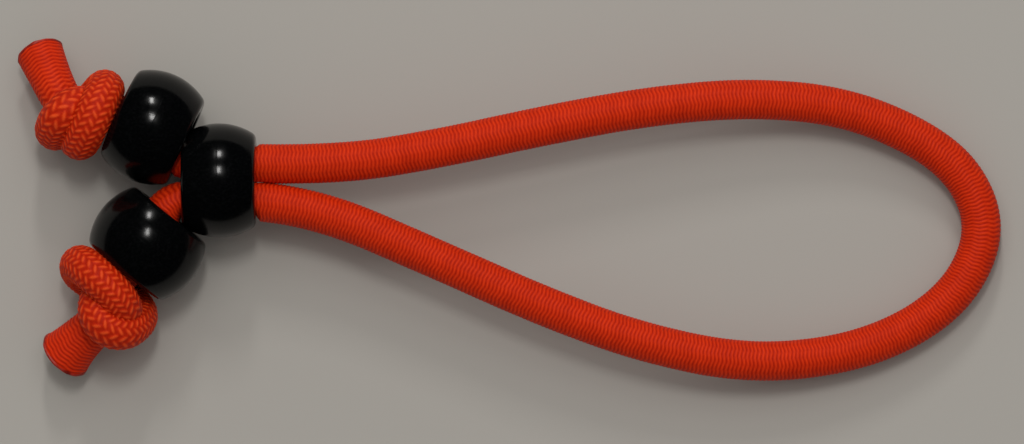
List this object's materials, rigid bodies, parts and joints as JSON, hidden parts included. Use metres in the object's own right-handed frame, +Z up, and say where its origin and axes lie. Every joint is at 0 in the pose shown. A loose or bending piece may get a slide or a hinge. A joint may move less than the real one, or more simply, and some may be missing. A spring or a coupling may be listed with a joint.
{
  "type": "bead cord lock on elastic cord",
  "caption": "Elastic cord loop with a sliding barrel bead that locks it, and a knotted end bead on each cut end.",
  "frame": {"origin": "centre of the slider bead's bore, at rest against the end beads", "axes": "+X along the bore towards the loop, which is the way the slider is pushed to close the loop; +Z up from the table the part lies on"},
  "size_m": [0.0773, 0.0265, 0.009],
  "materials": {
    "bead": "moulded gloss black",
    "braid": "braided polyester sheath, orange-red",
    "rubber_core": "natural latex threads, matte"
  },
  "bodies": {
    "cord_ends": {"upper_lead_jacket": "braid", "upper_lead_core": "rubber_core", "upper_tail_jacket": "braid", "upper_tail_core": "rubber_core", "lower_lead_jacket": "braid", "lower_lead_core": "rubber_core", "lower_tail_jacket": "braid", "lower_tail_core": "rubber_core", "upper_knot": "braid", "lower_knot": "braid"},
    "slider": {"slider_bead": "bead"},
    "upper_bead": {"upper_end_bead": "bead"},
    "lower_bead": {"lower_end_bead": "bead"},
    "upper_strand": {"upper_strand_jacket": "braid", "upper_strand_core": "rubber_core"},
    "upper_bight": {"upper_bight_jacket": "braid", "upper_bight_core": "rubber_core"},
    "lower_bight": {"lower_bight_jacket": "braid", "lower_bight_core": "rubber_core"},
    "lower_far_strand": {"lower_far_strand_jacket": "braid", "lower_far_strand_core": "rubber_core"},
    "lower_strand": {"lower_strand_jacket": "braid", "lower_strand_core": "rubber_core"}
  },
  "joints": [
    {"name": "slider_slide", "type": "slide", "parent": "cord_ends", "child": "slider", "axis": [1, 0, 0], "range_m": [0, 0.026], "deforming": ["upper_strand_jacket", "upper_strand_core", "upper_bight_jacket", "upper_bight_core", "lower_bight_jacket", "lower_bight_core", "lower_far_strand_jacket", "lower_far_strand_core", "lower_strand_jacket", "lower_strand_core", "upper_lead_jacket", "upper_lead_core", "lower_lead_jacket", "lower_lead_core"]},
    {"name": "upper_bead_spin", "type": "hinge", "parent": "cord_ends", "child": "upper_bead", "pos_m": [-0.00523, 0.00417, 0], "axis": [0.9063, -0.4226, 0], "continuous": true},
    {"name": "lower_bead_spin", "type": "hinge", "parent": "cord_ends", "child": "lower_bead", "pos_m": [-0.00564, -0.00496, 0], "axis": [0.6293, 0.7771, 0], "continuous": true},
    {"name": "upper_strand_swing", "type": "hinge", "parent": "cord_ends", "child": "upper_strand", "pos_m": [0.0032, 0.00144, 0], "axis": [0, 0, 1], "range_deg": [-8.69, 0]},
    {"name": "upper_bight_swing", "type": "hinge", "parent": "upper_strand", "child": "upper_bight", "pos_m": [0.0295, 0.00505, -0.0001], "axis": [0, 0, 1], "range_deg": [0, 27.5]},
    {"name": "tip_bend", "type": "hinge", "parent": "upper_bight", "child": "lower_bight", "pos_m": [0.0595, -0.00565, -0.0029], "axis": [0, 0, 1], "range_deg": [-25.18, 0]},
    {"name": "lower_bight_swing", "type": "hinge", "parent": "lower_bight", "child": "lower_far_strand", "pos_m": [0.02925, -0.0113, -0.00035], "axis": [0, 0, 1], "range_deg": [0, 26.5]},
    {"name": "lower_strand_swing", "type": "hinge", "parent": "cord_ends", "child": "lower_strand", "pos_m": [0.0032, -0.00174, 0], "axis": [0, 0, 1], "range_deg": [0, 21.13]}
  ],
  "couplings": [
    {"joint": "upper_strand_swing", "follows": "slider_slide", "rad_per_m": -5.1597},
    {"joint": "upper_bight_swing", "follows": "slider_slide", "rad_per_m": 17.788},
    {"joint": "tip_bend", "follows": "slider_slide", "rad_per_m": -16.231},
    {"joint": "lower_bight_swing", "follows": "slider_slide", "rad_per_m": 17.117},
    {"joint": "lower_strand_swing", "follows": "slider_slide", "rad_per_m": 13.514}
  ]
}
